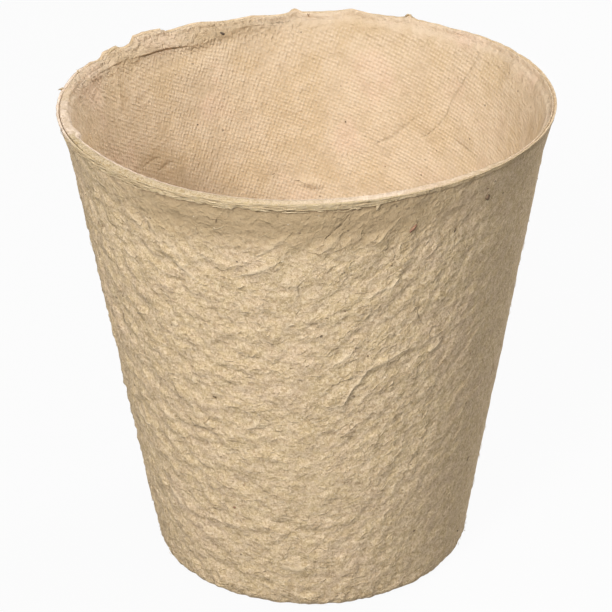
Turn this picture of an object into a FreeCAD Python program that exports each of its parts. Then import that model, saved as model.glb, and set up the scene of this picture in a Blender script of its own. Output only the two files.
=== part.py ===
"""Round peat pot for one seedling: a thin tapered cup moulded in one piece from peat and paper pulp.

The outside is turned about the Z axis. The inside die sat a little off centre, so the wall is thick at the front left
and thin at the back right. The collar flares above the cone, the rim has dried to an uneven height, a strip of the
collar is turned inwards at the back left and a torn tab stands up there. The floor is dished and has a drain hole.
Origin: centre of the foot, on the surface that the pot stands on. +X is the right of the pot and -Y its front.
Lengths are in millimetres. A bearing is a share of a full turn, counted from +X towards +Y.
"""
import FreeCAD, Part
import os
from math import cos, degrees, pi, sin, sqrt, tan

from FreeCAD import Vector

# Outside of the cup
HEIGHT = 80.0
RIM_RADIUS = 40.0
FOOT_RADIUS = 26.2
FOOT_CORNER_RADIUS = 2.2
COLLAR_DEPTH = 6.6
COLLAR_FOOT_RADIUS = 38.1
COLLAR_BEND_RADIUS = 12.0

# Thickness of the pulp, and how far the inside die sat off centre
WALL = 1.6
FLOOR = 1.8
INSIDE_CORNER_RADIUS = 3.0
DIE_SHIFT = 0.5
DIE_BEARING_SHARE = 0.125

# Underside
FOOT_RING_WIDTH = 6.0
DISH_DEPTH = 0.6
DRAIN_RADIUS = 4.0

# Height of the rim: it leans, and rises and falls twice and three times on its way round
RIM_LEAN = 0.10
RIM_LEAN_BEARING_SHARE = 0.0
RIM_SADDLE = 0.16
RIM_SADDLE_BEARING_SHARE = 0.5
RIM_TREFOIL = 0.12
RIM_TREFOIL_BEARING_SHARE = 0.2
RIM_STATIONS = 24

# Worn edges of the rim
OUTER_LIP_WEAR = 0.3
INNER_LIP_WEAR = 0.5
LIP_CROWN = 0.12

# Strip of the collar turned inwards
STRIP_DEPTH = 4.2
STRIP_TOP_GAP = 0.9
STRIP_PROUD = 0.8
STRIP_BEARING_SHARE = 0.355
STRIP_REACH_SHARE = 0.09

# Torn tab standing on the rim
TAB_WIDTH = 6.4
TAB_HEIGHT = 1.0
TAB_THICKNESS = 0.7
TAB_SLANT = 1.4
TAB_INSET = 0.25
TAB_BEARING_SHARE = 0.3715

OVERRUN = 5.0
SEAM_CLEARANCE = 0.05
TURN = 2 * pi
Z_AXIS = Vector(0, 0, 1)
CENTRE = Vector(0, 0, 0)

# Heights, radii and slopes that follow from the sizes above
COLLAR_FOOT_HEIGHT = HEIGHT - COLLAR_DEPTH
FLOOR_TOP = DISH_DEPTH + FLOOR
WALL_SLOPE = (COLLAR_FOOT_RADIUS - FOOT_RADIUS) / COLLAR_FOOT_HEIGHT
COLLAR_SLOPE = (RIM_RADIUS - COLLAR_FOOT_RADIUS) / COLLAR_DEPTH
WALL_ACROSS = WALL * sqrt(1 + WALL_SLOPE ** 2)
COLLAR_ACROSS = WALL * sqrt(1 + COLLAR_SLOPE ** 2)


def at_bearing(radius, angle, height):
    """Point at a distance from the pot's axis, in the direction of an angle."""
    return Vector(radius * cos(angle), radius * sin(angle), height)


def wall_radius(height):
    """Outer radius of the cup on its cone or its collar."""
    if height < COLLAR_FOOT_HEIGHT:
        return FOOT_RADIUS + WALL_SLOPE * height
    return COLLAR_FOOT_RADIUS + COLLAR_SLOPE * (height - COLLAR_FOOT_HEIGHT)


def rounded_profile(corners):
    """Closed profile in the XZ plane; each corner is a radius from the axis, a height and a rounding."""
    places = [Vector(across, 0, height) for across, height, rounding in corners]
    roundings = [rounding for across, height, rounding in corners]
    count = len(corners)
    starts, edges = [], []
    for i in range(count):
        before = (places[i - 1] - places[i]).normalize()
        after = (places[(i + 1) % count] - places[i]).normalize()
        half = before.getAngle(after) / 2
        reach = roundings[i] / tan(half)
        middle = (before + after).normalize() * (roundings[i] / sin(half) - roundings[i])
        starts.append((places[i] + before * reach, places[i] + middle, places[i] + after * reach))
    for i in range(count):
        entry, middle, leave = starts[i]
        if roundings[i] > 0:
            edges.append(Part.Arc(entry, middle, leave).toShape())
        edges.append(Part.LineSegment(leave, starts[(i + 1) % count][0]).toShape())
    return Part.Face(Part.Wire(edges))


def turned(profile):
    return profile.revolve(CENTRE, Z_AXIS, degrees(TURN))


def outside():
    """Solid with the outer form of the pot, taller than its rim."""
    top = HEIGHT + OVERRUN
    return turned(rounded_profile([
        (0, 0, 0),
        (FOOT_RADIUS, 0, FOOT_CORNER_RADIUS),
        (COLLAR_FOOT_RADIUS, COLLAR_FOOT_HEIGHT, COLLAR_BEND_RADIUS),
        (wall_radius(top), top, 0),
        (0, top, 0),
    ]))


def cavity():
    """Space inside the cup: the form of the inside die, moved off centre."""
    top = HEIGHT + OVERRUN + OVERRUN
    space = turned(rounded_profile([
        (0, FLOOR_TOP, 0),
        (wall_radius(FLOOR_TOP) - WALL_ACROSS, FLOOR_TOP, INSIDE_CORNER_RADIUS),
        (COLLAR_FOOT_RADIUS - WALL_ACROSS, COLLAR_FOOT_HEIGHT, COLLAR_BEND_RADIUS),
        (wall_radius(top) - COLLAR_ACROSS, top, 0),
        (0, top, 0),
    ]))
    space.translate(at_bearing(DIE_SHIFT, DIE_BEARING_SHARE * TURN, 0))
    return space


def dish():
    """Ball whose cap hollows the underside, so that the pot stands on a ring."""
    reach = FOOT_RADIUS - FOOT_RING_WIDTH
    ball_radius = (reach ** 2 + DISH_DEPTH ** 2) / (2 * DISH_DEPTH)
    return Part.makeSphere(ball_radius, Z_AXIS * (DISH_DEPTH - ball_radius))


def rim_height(angle):
    """Height of the rim at an angle."""
    lean = RIM_LEAN * cos(angle - RIM_LEAN_BEARING_SHARE * TURN)
    saddle = RIM_SADDLE * cos(2 * (angle - RIM_SADDLE_BEARING_SHARE * TURN))
    trefoil = RIM_TREFOIL * cos(3 * (angle - RIM_TREFOIL_BEARING_SHARE * TURN))
    return HEIGHT + lean + saddle + trefoil


def rim_line(radius, drop, centre):
    """Closed curve that rises and falls with the rim, at a distance below it."""
    angles = [TURN * i / RIM_STATIONS for i in range(RIM_STATIONS)]
    places = [centre + at_bearing(radius, angle, rim_height(angle) - drop) for angle in angles]
    curve = Part.BSplineCurve()
    curve.interpolate(places, PeriodicFlag=True)
    return Part.Wire(curve.toShape())


def above_rim():
    """Everything over the rim: a wavy crowned sheet across the collar, drawn upwards."""
    die_centre = at_bearing(DIE_SHIFT, DIE_BEARING_SHARE * TURN, 0)
    inside = RIM_RADIUS - COLLAR_ACROSS
    sheet = Part.makeLoft([
        rim_line(inside - OVERRUN, OVERRUN, die_centre),
        rim_line(inside, INNER_LIP_WEAR, die_centre),
        rim_line(inside + INNER_LIP_WEAR, LIP_CROWN, die_centre),
        rim_line(RIM_RADIUS - OUTER_LIP_WEAR, LIP_CROWN, CENTRE),
        rim_line(RIM_RADIUS, OUTER_LIP_WEAR, CENTRE),
        rim_line(RIM_RADIUS + OVERRUN, OVERRUN, CENTRE),
    ], False, True)
    return sheet.extrude(Z_AXIS * (4 * OVERRUN))


def turned_in_strip():
    """Band of the collar that leans inwards: proud at its lower edge, level with the wall at its top and its ends."""
    low = HEIGHT - STRIP_DEPTH
    high = HEIGHT - STRIP_TOP_GAP
    low_inside = wall_radius(low) - COLLAR_ACROSS
    high_inside = wall_radius(high) - COLLAR_ACROSS
    bearing = STRIP_BEARING_SHARE * TURN
    away = STRIP_PROUD / (1 - cos(STRIP_REACH_SHARE * TURN))
    die_centre = at_bearing(DIE_SHIFT, DIE_BEARING_SHARE * TURN, 0)
    low_centre = die_centre - at_bearing(away, bearing, 0) + Z_AXIS * low
    low_circle = Part.Circle(low_centre, Z_AXIS, low_inside + away - STRIP_PROUD)
    high_circle = Part.Circle(die_centre + Z_AXIS * high, Z_AXIS, high_inside + SEAM_CLEARANCE)
    wires = [Part.Wire(circle.toShape()) for circle in (low_circle, high_circle)]
    open_middle = Part.makeLoft(wires, True, True)
    half_wall = COLLAR_ACROSS / 2
    band = Part.makeCone(low_inside + half_wall, high_inside + half_wall, high - low, die_centre + Z_AXIS * low)
    return band.cut(open_middle)


def torn_tab():
    """Thin flap of pulp that stands up from the rim, with slanting ends."""
    bearing = TAB_BEARING_SHARE * TURN
    foot = rim_height(bearing)
    low = foot - TAB_HEIGHT
    high = foot + TAB_HEIGHT
    ring = Part.makeCone(wall_radius(low) - TAB_INSET, wall_radius(high) - TAB_INSET, high - low, Z_AXIS * low)
    bore_low = wall_radius(low) - TAB_INSET - TAB_THICKNESS
    bore_high = wall_radius(high) - TAB_INSET - TAB_THICKNESS
    ring = ring.cut(Part.makeCone(bore_low, bore_high, high - low, Z_AXIS * low))
    half = TAB_WIDTH / 2
    corners = [(-half, low), (half, low), (half - TAB_SLANT, high), (TAB_SLANT - half, high), (-half, low)]
    outline = Part.makePolygon([Vector(0, across, height) for across, height in corners])
    wedge = Part.Face(outline).extrude(Vector(RIM_RADIUS + OVERRUN, 0, 0))
    wedge.rotate(CENTRE, Z_AXIS, degrees(bearing))
    return ring.common(wedge)


def drain_hole():
    return Part.makeCylinder(DRAIN_RADIUS, FLOOR_TOP + 2 * OVERRUN, Z_AXIS * -OVERRUN)


def pot_shell():
    """The whole moulding."""
    shell = outside().cut(cavity()).cut(above_rim())
    shell = shell.fuse(turned_in_strip()).fuse(torn_tab())
    return shell.cut(dish()).cut(drain_hole())


def main():
    os.makedirs("parts", exist_ok=True)
    pot = pot_shell()
    print("solids", len(pot.Solids), "valid", pot.isValid(), "volume", round(pot.Volume, 1))
    pot.Solids[0].exportStep("parts/pot_shell.step")


main()
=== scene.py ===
"""Looks of a round peat pot: two felted plies with a wire-cloth print inside, a ragged rim, loose fibres and flecks.

Lengths are in millimetres and turned to metres when a mesh is made. A bearing is an angle in degrees counted from +X
towards +Y, so 270 is the front. A pick is a pixel of the photograph, which is 612 pixels wide and high.
"""

from functools import lru_cache
from itertools import product
from math import atan, cos, degrees, hypot, pi, radians, sin, sqrt

import bpy
import numpy as np
from mathutils import Matrix, Vector


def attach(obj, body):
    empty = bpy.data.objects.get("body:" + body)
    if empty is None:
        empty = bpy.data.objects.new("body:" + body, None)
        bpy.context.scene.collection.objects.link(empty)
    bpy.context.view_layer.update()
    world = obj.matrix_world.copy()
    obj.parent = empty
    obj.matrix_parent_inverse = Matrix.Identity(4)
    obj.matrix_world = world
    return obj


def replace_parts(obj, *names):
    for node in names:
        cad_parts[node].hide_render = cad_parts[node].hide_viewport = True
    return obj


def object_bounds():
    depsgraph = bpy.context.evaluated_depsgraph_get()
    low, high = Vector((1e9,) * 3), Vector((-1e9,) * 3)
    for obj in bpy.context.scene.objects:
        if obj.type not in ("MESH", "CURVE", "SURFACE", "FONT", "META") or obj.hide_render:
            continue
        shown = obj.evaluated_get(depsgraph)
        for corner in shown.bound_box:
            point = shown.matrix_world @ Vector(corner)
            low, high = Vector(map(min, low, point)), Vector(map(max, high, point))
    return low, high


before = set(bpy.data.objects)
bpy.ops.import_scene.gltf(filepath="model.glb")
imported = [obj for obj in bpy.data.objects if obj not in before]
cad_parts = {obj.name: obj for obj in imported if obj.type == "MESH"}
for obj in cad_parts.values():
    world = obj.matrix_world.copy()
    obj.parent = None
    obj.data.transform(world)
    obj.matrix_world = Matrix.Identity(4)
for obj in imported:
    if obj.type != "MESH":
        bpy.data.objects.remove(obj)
cad_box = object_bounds()

MM = 0.001
SEED = 7

# Form of the moulding, as in the model
HEIGHT = 80.0
RIM_RADIUS = 39.95
FOOT_RADIUS = 26.2
FOOT_CORNER_RADIUS = 2.2
COLLAR_FOOT_HEIGHT = 73.4
COLLAR_FOOT_RADIUS = 38.1
WALL_ACROSS = 1.64
FLOOR_TOP = 2.4
INSIDE_CORNER_RADIUS = 3.0
DIE_CENTRE = (0.354, 0.354)
DISH_REACH = 20.2
DISH_DEPTH = 0.6
DRAIN_RADIUS = 4.0
HIGHEST = 80.78
RIM_DROP = 0.22
RIM_LEAN = 0.10
RIM_SADDLE = 0.16
RIM_TREFOIL = 0.12
RIM_TREFOIL_TURN = 216
SPLIT_HEIGHT = 1.3
OUTER_PLY = 0.5
SPLIT_GAP = 0.06
WALL_SLOPE = (COLLAR_FOOT_RADIUS - FOOT_RADIUS) / COLLAR_FOOT_HEIGHT
COLLAR_SLOPE = (RIM_RADIUS - COLLAR_FOOT_RADIUS) / (HEIGHT - COLLAR_FOOT_HEIGHT)
LIP_DEPTH = 1.2
LIP_PROUD = 0.3
INNER_TEAR_SHARE = 0.85
MEAN_RADIUS = 33.0
FLECK_RADIUS = 35.0
COLUMNS = 540
CORNER_STEPS = 9
WIRE_PITCH = 0.635
BOX_CLEARANCE = 0.005
FLOOR_MAP_SHARE = 0.5
LIP_MAP_SHARE = 1.6
HIDDEN_MAP_SHARE = 0.03
NOISE_CELLS = 64
NOISE_GAIN = 1.6
FAR = 9.0

# The camera, fitted to the photograph's outline
PHOTO_SIZE = 612
FOCAL_PIXELS = 2484.7
SENSOR_WIDTH = 36.0
CAMERA_ELEVATION = 0.4745
CAMERA_DISTANCE = 414.06
CAMERA_ROLL = -0.01489
AIM_POINT = np.array([-0.552, 0.0, 42.569])

camera_back = np.array([0, -cos(CAMERA_ELEVATION), sin(CAMERA_ELEVATION)])
camera_place = AIM_POINT + camera_back * CAMERA_DISTANCE
level_right = np.array([1.0, 0, 0])
level_up = np.cross(level_right, -camera_back)
camera_right = level_right * cos(CAMERA_ROLL) + level_up * sin(CAMERA_ROLL)
camera_up = level_up * cos(CAMERA_ROLL) - level_right * sin(CAMERA_ROLL)


def smooth(low, high, value):
    """0 below low, 1 above high, eased between; low may be the greater."""
    part = np.clip((np.asarray(value, float) - low) / (high - low), 0, 1)
    return part * part * (3 - 2 * part)


def within(value, stretch):
    """0 outside a stretch and 1 in it; it gives where the rise starts and ends, and where the fall does."""
    start, full, full_end, end = stretch
    return smooth(start, full, value) * smooth(end, full_end, value)


def bell(value, middle, width):
    """1 at the middle, and little beyond twice the width from it."""
    return np.exp(-((value - middle) / width) ** 2)


def turn_apart(bearing, other):
    """Signed difference of two bearings, from -180 to 180."""
    return (np.asarray(bearing, float) - other + 180) % 360 - 180


def around(bearings, middle, width):
    return bell(turn_apart(bearings, middle), 0, width)


@lru_cache(maxsize=None)
def noise_slopes(seed):
    slopes = np.random.default_rng(SEED * 1000 + seed).normal(size=(NOISE_CELLS, NOISE_CELLS, NOISE_CELLS, 3))
    return slopes / np.linalg.norm(slopes, axis=-1, keepdims=True)


def noise(points, cell, seed):
    """Seeded gradient noise, about -1 to 1, at an array of points; a cell is one length or one per axis."""
    slopes = noise_slopes(seed)
    places = points / np.asarray(cell, float) + NOISE_CELLS * 8
    base = np.floor(places).astype(int)
    part = places - base
    ease = part ** 3 * (part * (part * 6 - 15) + 10)
    total = np.zeros(points.shape[:-1])
    for corner in product((0, 1), repeat=3):
        index = (base + corner) % NOISE_CELLS
        slope = slopes[index[..., 0], index[..., 1], index[..., 2]]
        weight = np.prod(np.where(corner, ease, 1 - ease), axis=-1)
        total += weight * np.sum(slope * (part - corner), axis=-1)
    return total * NOISE_GAIN


def noises(points, *layers):
    """Sum of noises, each with a height, a cell and a seed."""
    return sum(height * noise(points, cell, seed) for height, cell, seed in layers)


def ring_noise(bearings, length, seed):
    """Noise along the rim; a length is the size of its bumps."""
    angle = np.radians(bearings)
    ring = np.stack([RIM_RADIUS * np.cos(angle), RIM_RADIUS * np.sin(angle), np.zeros_like(angle)], axis=-1)
    return noise(ring, length, seed)


# Radii of the two faces and the height of the rim
def outer_radius(height):
    cone = FOOT_RADIUS + WALL_SLOPE * height
    collar = COLLAR_FOOT_RADIUS + COLLAR_SLOPE * (height - COLLAR_FOOT_HEIGHT)
    return np.maximum(cone, collar)


def inner_radius(height):
    return outer_radius(height) - WALL_ACROSS


def broad_rim(bearing):
    """The slow rise and fall of the rim."""
    angle = np.radians(bearing)
    height = HEIGHT - RIM_DROP + RIM_LEAN * np.cos(angle) + RIM_SADDLE * np.cos(2 * angle)
    return height + RIM_TREFOIL * np.cos(3 * angle - radians(RIM_TREFOIL_TURN))


# Places where the rim has dried higher or lower: bearing, half width in degrees, height
RIM_SWELLS = [(51, 4.0, -0.18), (63, 1.5, 0.45), (78.5, 4.4, 0.5), (78, 1.6, 0.22), (92.5, 1.2, 0.42), (98, 4.0, -0.3),
              (109.5, 4.5, -0.28), (118, 4.5, 0.22), (140.5, 1.6, -0.25), (151, 1.8, -0.25), (162.5, 2.5, 0.12)]
# Torn edges that stand up with steep ends: first bearing, last bearing, height at each
RIM_TEARS = [(128.6, 137.6, 0.75, 1.08), (143.2, 148.9, 0.38, 0.5), (61.6, 63.4, 0.1, 0.2), (91.6, 93.4, 0.15, 0.25)]


def rim_top(bearing, tear_share=0.0):
    """Height of the rim with a share of its torn edges, which belong to the outer ply more than to the inner."""
    top = broad_rim(bearing)
    for place, half_width, height in RIM_SWELLS:
        top = top + height * around(bearing, place, half_width)
    top = top + 0.05 * ring_noise(bearing, 5.0, 1) + 0.07 * ring_noise(bearing, 1.5, 2)
    if tear_share:
        for first, last, rise_first, rise_last in RIM_TEARS:
            along = np.clip((bearing - first) / (last - first), 0, 1)
            inside = within(bearing, (first - 0.8, first + 0.2, last - 0.2, last + 0.8))
            rise = rise_first + (rise_last - rise_first) * along + 0.08 * ring_noise(bearing, 1.5, 3)
            top = top + tear_share * inside * rise
    return np.minimum(top, HIGHEST)


def on_wall(pick, inside=False):
    """Bearing and height of the place on a wall that a pick shows."""
    x, y = pick
    half = PHOTO_SIZE / 2
    direction = -camera_back + (camera_right * (x - half) - camera_up * (y - half)) / FOCAL_PIXELS
    start = camera_place - (np.array([*DIE_CENTRE, 0]) if inside else 0)
    side = 1 if inside else -1
    cone = (WALL_SLOPE, FOOT_RADIUS)
    collar = (COLLAR_SLOPE, COLLAR_FOOT_RADIUS - COLLAR_SLOPE * COLLAR_FOOT_HEIGHT)
    for slope, foot in (cone, collar):
        radius = foot - (WALL_ACROSS if inside else 0)
        a = direction[0] ** 2 + direction[1] ** 2 - (slope * direction[2]) ** 2
        b = start[0] * direction[0] + start[1] * direction[1] - (radius + slope * start[2]) * slope * direction[2]
        c = start[0] ** 2 + start[1] ** 2 - (radius + slope * start[2]) ** 2
        reach = (-b + side * sqrt(max(b * b - a * c, 0))) / a
        place = start + direction * reach
        if place[2] < COLLAR_FOOT_HEIGHT:
            break
    return degrees(np.arctan2(place[1], place[0])) % 360, place[2]


def at(bearing, radius, height):
    """Point at a bearing."""
    return np.array([radius * cos(radians(bearing)), radius * sin(radians(bearing)), height])


# Rows of the two plies: each row is a radius and a height on the plain profile
def leg(start, end, step):
    """Points from a start to just short of an end, about a step apart."""
    start, end = np.array(start, float), np.array(end, float)
    count = max(int(round(np.linalg.norm(end - start) / step)), 1)
    return [start + (end - start) * i / count for i in range(count)]


def corner_arc(radius_at_zero, floor, rounding):
    """Arc that joins a level floor to a leaning wall, without its last point, and the height of that point."""
    middle_height = floor + rounding
    middle = radius_at_zero + WALL_SLOPE * middle_height - rounding * sqrt(1 + WALL_SLOPE ** 2)
    last = -degrees(atan(WALL_SLOPE))
    angles = [radians(-90 + (last + 90) * i / CORNER_STEPS) for i in range(CORNER_STEPS)]
    points = [np.array([middle + rounding * cos(a), middle_height + rounding * sin(a)]) for a in angles]
    return points, middle_height + rounding * sin(radians(last))


def dish_height(radius):
    return DISH_DEPTH * max(1 - (radius / DISH_REACH) ** 2, 0)


def wall_points(radius, *spans):
    """Points up a wall; a span has its lowest height, its end and its step."""
    return [(radius(h), h) for low, high, step in spans for h in np.arange(low, high, step)]


def hidden_rows(gap, drop, foot_inset):
    """Rows on a ply's hidden side: down from a drop below the rim and in to the drain hole."""
    heights = (HEIGHT - drop, HEIGHT - 3, 60.0, 40.0, 20.0, 6.0, 3.2 + gap)
    rows = [(outer_radius(h) - OUTER_PLY - gap, h) for h in heights]
    return rows + [(r, SPLIT_HEIGHT + gap) for r in (FOOT_RADIUS - foot_inset, 14.0, DRAIN_RADIUS + 0.3)]


def ply_grid(rows):
    """Row numbers, bearings, radii and heights of the plain profile at every point of a ply."""
    profile = np.array(rows)
    bearings = np.broadcast_to(np.arange(COLUMNS) * 360 / COLUMNS, (len(rows), COLUMNS))
    level = 0 * bearings
    return np.arange(len(rows))[:, None] + level, bearings, profile[:, :1] + level, profile[:, 1:] + level


def loops_of(rows, flip):
    """Row and column of every face, and the steps from these to its four corners."""
    row, column = np.meshgrid(np.arange(rows), np.arange(COLUMNS), indexing="ij")
    steps, lifts = np.array([0, 1, 1, 0]), np.array([0, 0, 1, 1])
    if flip:
        steps, lifts = steps[::-1], lifts[::-1]
    return row[..., None], column[..., None], steps, lifts


def mesh_from_grid(name, grid, flip):
    """Closed mesh of a grid of points that joins up in both directions."""
    rows = len(grid)
    mesh = bpy.data.meshes.new(name)
    row, column, steps, lifts = loops_of(rows, flip)
    faces = (((row + lifts) % rows) * COLUMNS + (column + steps) % COLUMNS).reshape(-1, 4)
    mesh.vertices.add(rows * COLUMNS)
    mesh.vertices.foreach_set("co", (grid * MM).reshape(-1))
    mesh.loops.add(faces.size)
    mesh.polygons.add(len(faces))
    mesh.loops.foreach_set("vertex_index", faces.reshape(-1))
    mesh.polygons.foreach_set("loop_start", np.arange(len(faces)) * 4)
    mesh.polygons.foreach_set("loop_total", np.full(len(faces), 4))
    mesh.update()
    mesh.shade_smooth()
    return mesh


def add_map(mesh, name, across, up):
    layer = mesh.uv_layers.new(name=name)
    layer.data.foreach_set("uv", np.stack(np.broadcast_arrays(across, up), axis=-1).reshape(-1))


def ply_mesh(name, rows, points, flip, floor_rows, lip_first, hidden_first):
    """Mesh of a ply with its map for baking: each half turn is one strip, one above the other."""
    mesh = mesh_from_grid(name, points, flip)
    weights = np.where(np.arange(len(rows)) < floor_rows, FLOOR_MAP_SHARE, 1.0)
    weights[lip_first:hidden_first] = LIP_MAP_SHARE
    weights[hidden_first:] = HIDDEN_MAP_SHARE
    half = COLUMNS // 2
    row, column, steps, lifts = loops_of(len(rows), flip)
    spans = np.linalg.norm(np.diff(np.vstack([rows, rows[:1]]), axis=0), axis=1)
    climb = np.concatenate([[0], np.cumsum(spans * weights)])
    climb = 0.01 + 0.98 * climb / climb[-1]
    across = 0.005 + 0.99 * (column % half + steps) / half
    add_map(mesh, "OFBake", across, (climb[row + lifts] + column // half) / 2)
    return mesh


def paint(mesh, name, values):
    """A value for each vertex, which the materials read by its name."""
    mesh.attributes.new(name, "FLOAT", "POINT").data.foreach_set("value", values.reshape(-1).astype(np.float32))


def paint_lines(mesh, shown, groove_share, ridge_share):
    """The drawn lines: a signed share of width, and where a line is near, as the sign turns between two lines too."""
    for name, share in (("groove", groove_share), ("ridge", ridge_share)):
        paint(mesh, name + "_share", share)
        paint(mesh, name + "_near", smooth(3.5, 2.0, np.abs(share)) * (shown > 0.5))


def placed(name, data):
    """An object in the scene with its mesh, lamp or camera."""
    thing = bpy.data.objects.new(name, data)
    bpy.context.scene.collection.objects.link(thing)
    return thing


def piece(name, mesh, material):
    thing = placed(name, mesh)
    mesh.materials.append(material)
    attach(thing, "root")
    return thing


def stroke(bearings, heights, line, width):
    """How far a place is from a line of (bearing, height) points, as a share of its width; below 0 on its left."""
    across = outer_radius(heights)
    best = np.full(np.broadcast(bearings, heights).shape, FAR)
    lengths = [hypot(radians(b[0] - a[0]) * outer_radius(a[1]), b[1] - a[1]) for a, b in zip(line, line[1:])]
    total, done = sum(lengths), 0.0
    for (a, b), length in zip(zip(line, line[1:]), lengths):
        run = radians(b[0] - a[0]) * across
        rise = b[1] - a[1]
        x = np.radians(turn_apart(bearings, a[0])) * across
        y = heights - a[1]
        part = np.clip((x * run + y * rise) / (run ** 2 + rise ** 2 + 1e-9), 0, 1)
        away = np.hypot(x - part * run, y - part * rise)
        along = (done + part * length) / total
        thin = np.sqrt(np.clip(4 * along * (1 - along), 0.05, 1))
        side = np.where(x * rise > y * run, 1.0, -1.0)
        share = side * np.minimum(away / (width * thin), FAR)
        best = np.where(np.abs(share) < np.abs(best), share, best)
        done += length
    return best


# Wrinkles and folds of the outside: picks along each, half width, height
OUTER_STROKES = [
    ([(411, 345), (388.7, 359), (366.5, 370), (357, 383), (350, 391), (341.6, 406)], 0.42, 0.34),
    ([(401, 217), (389, 230), (374, 245)], 0.4, 0.26),
    ([(463, 237), (453, 246.5)], 0.5, 0.24),
    ([(400, 276), (392, 286), (378, 291), (368, 299)], 0.5, 0.24),
    ([(442, 338), (434, 347), (427.5, 352)], 0.6, 0.28),
    ([(241, 276), (262, 269), (280, 261)], 0.6, 0.34),
    ([(350, 214), (341, 225), (335, 230), (325, 240)], 0.35, -0.08),
    ([(305, 279), (298.5, 287), (301, 299), (302, 308), (296, 316)], 0.35, -0.1),
    ([(251.5, 421), (258, 424), (247, 430)], 0.5, 0.3),
    ([(138, 407), (146, 418), (151, 425)], 0.6, 0.3),
    ([(170, 483), (177, 494), (183, 504)], 0.7, 0.18),
    ([(165, 410), (171, 416), (175, 420)], 0.6, 0.26),
    ([(176, 262), (186, 270), (196, 279)], 0.7, 0.22),
    ([(166, 239), (174, 248), (181, 257)], 0.7, 0.2),
    ([(144, 216), (151, 226), (157, 236)], 0.7, 0.22),
    ([(283, 560), (292, 556.5), (301, 555)], 0.5, -0.3),
    ([(283, 567), (296, 569), (306, 566)], 0.9, 0.22),
    ([(342, 233), (331, 244), (322, 252)], 0.7, 0.2),
    ([(352, 352), (343, 360), (333, 365)], 0.5, 0.2),
    ([(397, 583), (411.6, 574), (427.6, 563.4)], 0.25, -0.2),
    ([(290, 594), (316, 600), (345, 603), (372, 602)], 0.3, -0.2),
    ([(393, 248), (396, 256), (392, 262), (398, 268)], 0.25, -0.1),
    ([(420, 306), (418, 312), (420, 318), (424, 326)], 0.25, -0.1),
    ([(172, 321), (178, 325)], 0.5, 0.22),
    ([(126, 249), (134, 257)], 0.5, 0.2),
    ([(125, 207), (134, 217), (143, 226)], 0.5, 0.2),
    ([(257, 257), (273, 246), (290, 234)], 0.6, 0.2),
]
# Creases and lumps of the inside, in the same way
INNER_STROKES = [
    ([(477.5, 55), (475.6, 63), (462.7, 83), (451.6, 100), (446, 114.6), (438.6, 125), (427.5, 135),
      (420, 137.7)], 0.4, -0.25),
    ([(414.6, 118), (403.5, 127.5), (390.6, 137.7), (377.6, 143)], 0.6, -0.16),
    ([(304, 185), (311, 188.5), (318, 189)], 0.35, -0.2),
    ([(301, 181), (310, 183), (320, 185)], 1.0, 0.42),
    ([(455, 140), (463, 147), (470, 152)], 0.5, -0.1),
    ([(115, 66), (118, 82), (120, 98), (121, 112)], 0.7, 0.22),
    ([(143, 168), (152, 160), (160, 157)], 0.5, -0.12),
    ([(158, 172), (166, 165), (175, 161)], 0.5, -0.12),
]
# Brownish stains of the inside, and at pick (237, 34) painted shade in the hollow at the end of the turned-in strip:
# pick, radius, strength
INNER_STAINS_AND_SHADE = [
    ((150, 135), 6.0, 0.2), ((205, 165), 5.0, 0.25), ((128, 108), 5.0, 0.25), ((275, 175), 3.0, 0.3),
    ((110, 142), 4.0, 0.3), ((510, 104), 3.5, 0.3), ((513, 56), 3.0, 0.25), ((180, 112), 4.0, 0.25),
    ((237, 34), 2.5, 0.4), ((415, 92), 5.0, 0.15),
]


def stains_and_hollow_shade(bearings, heights):
    total = np.zeros(bearings.shape)
    for pick, radius, strength in INNER_STAINS_AND_SHADE:
        bearing, height = on_wall(pick, True)
        away = np.hypot(np.radians(turn_apart(bearings, bearing)) * inner_radius(heights), heights - height)
        total = np.maximum(total, strength * bell(away, 0, radius))
    return total


def drawn(strokes, bearings, heights, inside):
    """Relief of the strokes, and the shares of width from the nearest groove and the nearest ridge."""
    relief = np.zeros(np.broadcast(bearings, heights).shape)
    nearest = {True: np.full_like(relief, FAR), False: np.full_like(relief, FAR)}
    for picks, width, height in strokes:
        field = stroke(bearings, heights, [on_wall(pick, inside) for pick in picks], width)
        relief += height * np.exp(-field ** 2)
        near = nearest[height < 0]
        nearest[height < 0] = np.where(np.abs(field) < np.abs(near), field, near)
    return relief, nearest[True], nearest[False]


def row_normals(radii, heights):
    """Unit directions across the profile, to the right of its run."""
    run = np.stack([np.gradient(radii, axis=0), np.gradient(heights, axis=0)])
    run /= np.maximum(np.hypot(run[0], run[1]), 1e-6)
    return run[1], -run[0]


def in_space(bearings, radii, heights, centre_share=0.0):
    angle = np.radians(bearings)
    return np.stack([radii * np.cos(angle) + centre_share * DIE_CENTRE[0],
                     radii * np.sin(angle) + centre_share * DIE_CENTRE[1], heights + 0 * radii], axis=-1)


def keep_in_box(points):
    """Keeps a mesh within the model's own box."""
    low, high = np.array(cad_box[0]) / MM, np.array(cad_box[1]) / MM
    np.clip(points, low + BOX_CLEARANCE, high - BOX_CLEARANCE, out=points)


def finish_points(points, plain, bearings, radii, heights, low):
    """Moves the edge of the drain hole in and out, up to a height a little over low, and keeps the box."""
    hole = noises(plain, (0.12, 1.3, 27), (0.1, 3.0, 28)) * smooth(7.0, 4.5, radii) * smooth(3.0, low, heights)
    points[..., 0] += hole * np.cos(np.radians(bearings))
    points[..., 1] += hole * np.sin(np.radians(bearings))
    keep_in_box(points)


# Lie of the ripples in each quarter of the wall: bearing of its middle, tilt from the level in degrees, strength
RIPPLE_LIES = [(45, -20, 0.7), (135, 15, 0.9), (225, -18, 1.05), (315, 36, 0.6)]


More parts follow.
